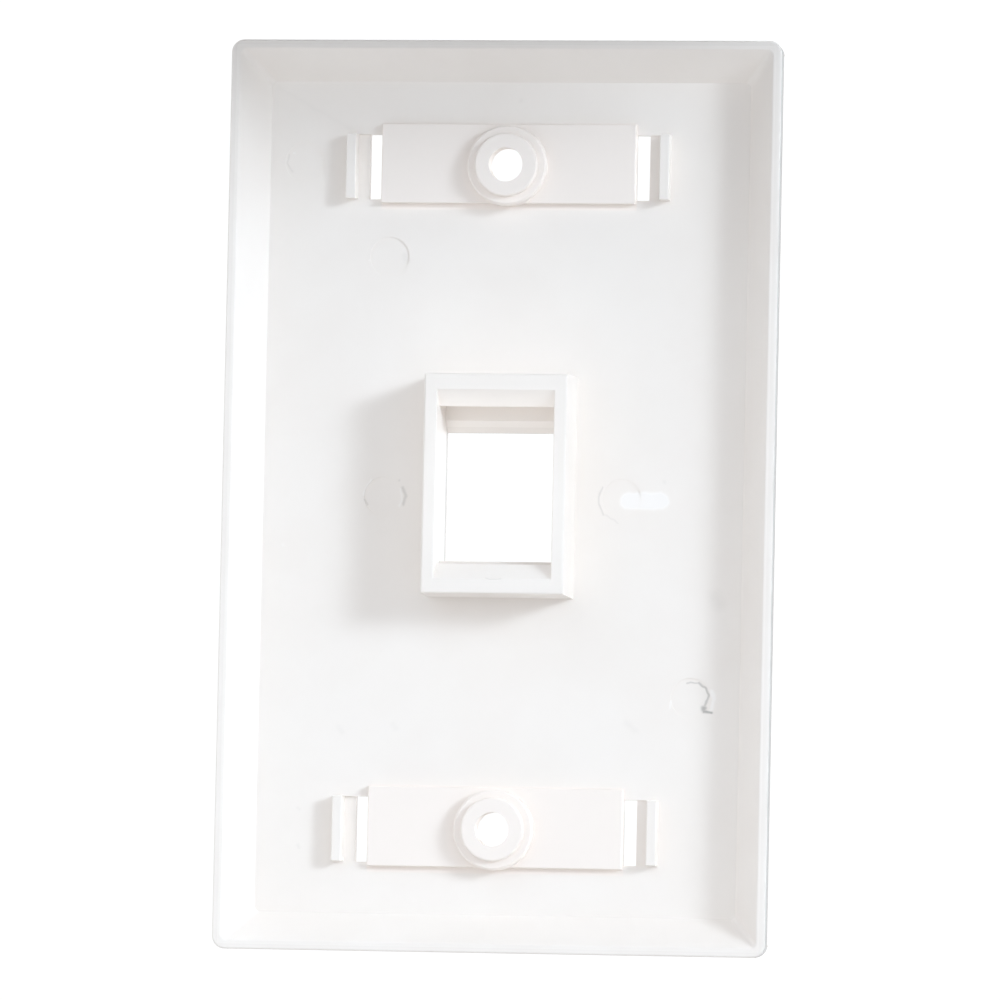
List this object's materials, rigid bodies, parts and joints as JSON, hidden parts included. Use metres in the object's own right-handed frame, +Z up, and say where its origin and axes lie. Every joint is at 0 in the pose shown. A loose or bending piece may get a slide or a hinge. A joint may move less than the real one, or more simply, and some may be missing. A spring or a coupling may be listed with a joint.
{
  "type": "keystone faceplate",
  "caption": "Moulded single-gang wall plate with a keystone port, stepped screw bosses and label windows above and below; open behind.",
  "frame": {"origin": "midway between the two screw holes, on the wall plane that the rear rim touches", "axes": "+Z up the plate towards the upper screw, +Y into the wall, so the front faces -Y; +X to the right seen from the front"},
  "size_m": [0.0698, 0.0088, 0.1142],
  "materials": {
    "white_plastic": "satin moulded, warm white"
  },
  "bodies": {
    "root": {"faceplate": "white_plastic"}
  },
  "joints": []
}
